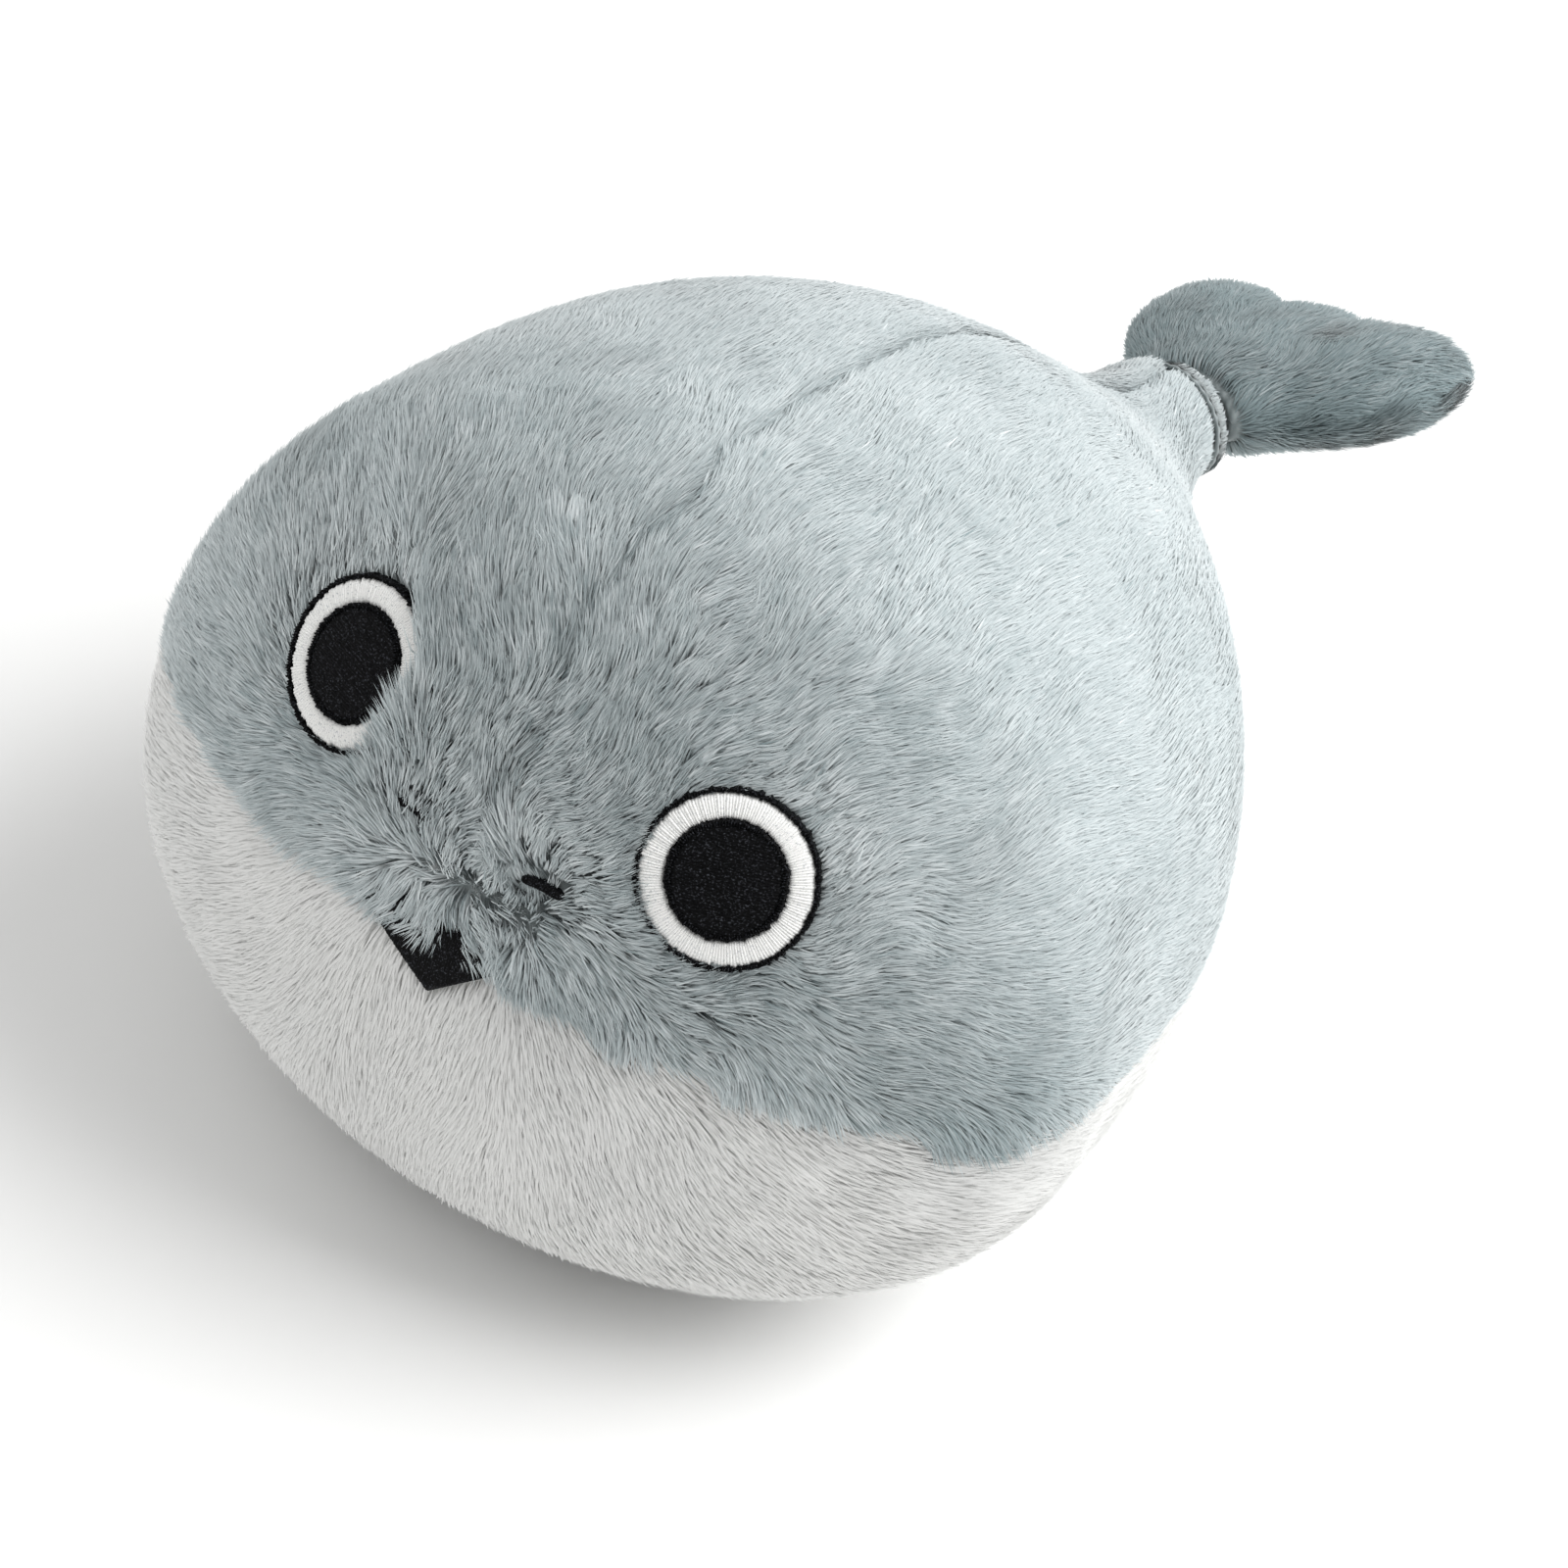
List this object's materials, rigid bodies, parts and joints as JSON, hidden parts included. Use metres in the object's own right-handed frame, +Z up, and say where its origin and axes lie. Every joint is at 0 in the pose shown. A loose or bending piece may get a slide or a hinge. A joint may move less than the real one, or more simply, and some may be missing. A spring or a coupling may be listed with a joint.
{
  "type": "plush shark",
  "caption": "Round stuffed plush fish with a grey back, white belly, embroidered eyes, nostrils and mouth, and a small two-lobed tail that flops.",
  "frame": {"origin": "on the floor, under the middle of the overall length and width, at the flattened belly", "axes": "the nose points along -Y and the tail along +Y, +X is the fish's own left, +Z is up"},
  "size_m": [0.197, 0.3395, 0.1607],
  "materials": {
    "grey_pile": "short dense pile, blue-grey, brushed backwards",
    "white_pile": "short dense pile, white",
    "black_thread": "satin stitch embroidery, slight sheen",
    "white_thread": "satin stitch embroidery, slight sheen",
    "stay_tape": "plain woven, matt, inside the toy",
    "fibre_fill": "loose polyester fibre, inside the toy",
    "label_satin": "blank satin tape"
  },
  "bodies": {
    "body": {"back_panel_left": "grey_pile", "back_panel_right": "grey_pile", "belly_panel": "white_pile", "body_stuffing": "fibre_fill", "back_seam_tape": "stay_tape", "side_seam_tape": "stay_tape", "eye_rim_left": "black_thread", "eye_rim_right": "black_thread", "eye_white_left": "white_thread", "eye_white_right": "white_thread", "pupil_left": "black_thread", "pupil_right": "black_thread", "eye_backing_left": "stay_tape", "eye_backing_right": "stay_tape", "nostril_left": "black_thread", "nostril_right": "black_thread", "mouth_patch": "black_thread", "mouth_backing": "stay_tape", "closing_stitches": "white_thread", "care_label": "label_satin"},
    "tail_neck": {"tail_neck_ring": "grey_pile"},
    "tail": {"tail_panel_upper": "grey_pile", "tail_panel_lower": "grey_pile", "tail_seam_tape": "stay_tape", "tail_stuffing": "fibre_fill"}
  },
  "joints": [
    {"name": "tail_sway", "type": "hinge", "parent": "body", "child": "tail_neck", "pos_m": [0, 0.09276, 0.06219], "axis": [0, 0, 1], "range_deg": [-16, 44], "stiffness_Nm_per_rad": 0.15},
    {"name": "tail_pitch", "type": "hinge", "parent": "tail_neck", "child": "tail", "pos_m": [0, 0.09276, 0.06219], "axis": [0.8917, -0.256, 0.3732], "range_deg": [-30, 30], "stiffness_Nm_per_rad": 0.15}
  ]
}
